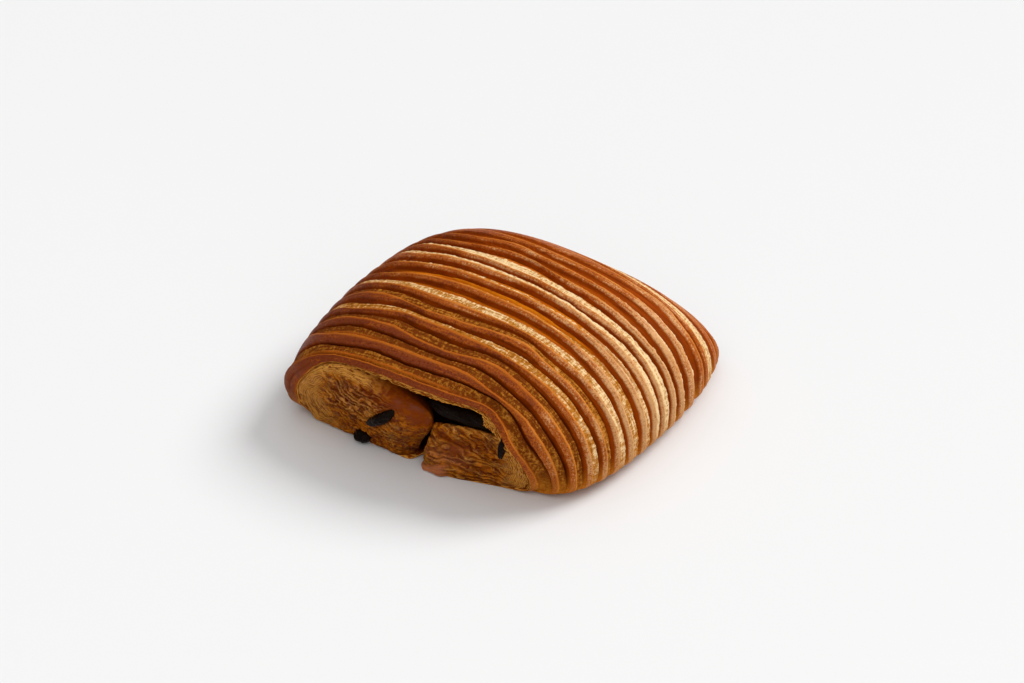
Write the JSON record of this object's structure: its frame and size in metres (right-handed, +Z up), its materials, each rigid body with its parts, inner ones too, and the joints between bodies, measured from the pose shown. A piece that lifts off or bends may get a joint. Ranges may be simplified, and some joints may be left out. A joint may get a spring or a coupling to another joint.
{
  "type": "pain au chocolat",
  "caption": "Rolled laminated pastry with raised ridges over its crown and chocolate showing at its open ends.",
  "frame": {"origin": "middle of the bounding box at the underside, where the pastry rests", "axes": "+Z up, Y along the roll with the open end that shows most chocolate facing -Y, +X to the right seen from that end"},
  "size_m": [0.1144, 0.108, 0.043],
  "materials": {
    "crust": "baked laminated crust with a satin egg glaze on the ridges",
    "chocolate": "dark chocolate, set after melting, glossy"
  },
  "bodies": {
    "root": {"dough": "crust", "chocolate_right": "chocolate", "chocolate_left": "chocolate", "chocolate_drip": "chocolate", "chocolate_smear": "chocolate"}
  },
  "joints": []
}
